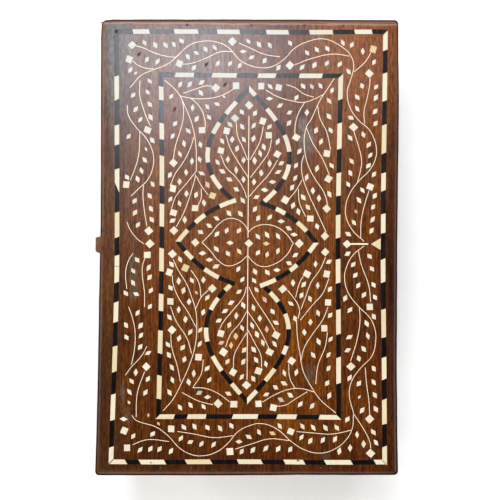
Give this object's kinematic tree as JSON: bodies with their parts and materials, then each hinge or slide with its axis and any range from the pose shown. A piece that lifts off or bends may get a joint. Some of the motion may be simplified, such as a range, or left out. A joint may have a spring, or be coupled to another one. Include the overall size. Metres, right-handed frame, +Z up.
{
  "type": "bone inlay box",
  "caption": "Rectangular hardwood box with a lift-off lid, its top and walls inlaid with bone and ebony strings, and with vines, leaves and a lobed medallion in bone and wire.",
  "frame": {"origin": "middle of the underside, of the whole box with its thumb lift", "axes": "+X along the length to the right of the front, +Y from the front to the back, +Z up. The thumb lift is on the front, at -Y"},
  "size_m": [0.305, 0.2022, 0.1152],
  "materials": {
    "wood": "reddish brown hardwood, worn satin polish",
    "bone": "cream bone, polished flush",
    "wire": "dulled white-metal wire",
    "ebony": "near-black ebony, polished flush"
  },
  "bodies": {
    "root": {"base_board": "wood", "front_wall": "wood", "right_wall": "wood", "back_wall": "wood", "left_wall": "wood", "front_string_bottom": "ebony", "front_string_right": "ebony", "front_string_top": "ebony", "front_string_left": "ebony", "right_string_bottom": "ebony", "right_string_right": "ebony", "right_string_top": "ebony", "right_string_left": "ebony", "back_string_bottom": "ebony", "back_string_right": "ebony", "back_string_top": "ebony", "back_string_left": "ebony", "left_string_bottom": "ebony", "left_string_right": "ebony", "left_string_top": "ebony", "left_string_left": "ebony", "lid_board": "wood", "outer_string_front": "ebony", "outer_string_right": "ebony", "outer_string_back": "ebony", "outer_string_left": "ebony", "inner_string_front": "ebony", "inner_string_right": "ebony", "inner_string_back": "ebony", "inner_string_left": "ebony", "medallion_string_right": "ebony", "medallion_string_back": "ebony", "medallion_string_left": "ebony", "medallion_string_front": "ebony", "bone_diamond_centre": "bone", "bone_diamond_left": "bone", "bone_diamond_right": "bone", "bone_diamond_front": "bone", "bone_diamond_back": "bone", "bone_triangle": "bone", "stem_wire_left": "wire", "stem_wire_right": "wire", "tie_wire": "wire", "lid_batten_front": "wood", "lid_batten_back": "wood", "lid_batten_left": "wood", "lid_batten_right": "wood", "thumb_lift": "wood"}
  },
  "joints": []
}
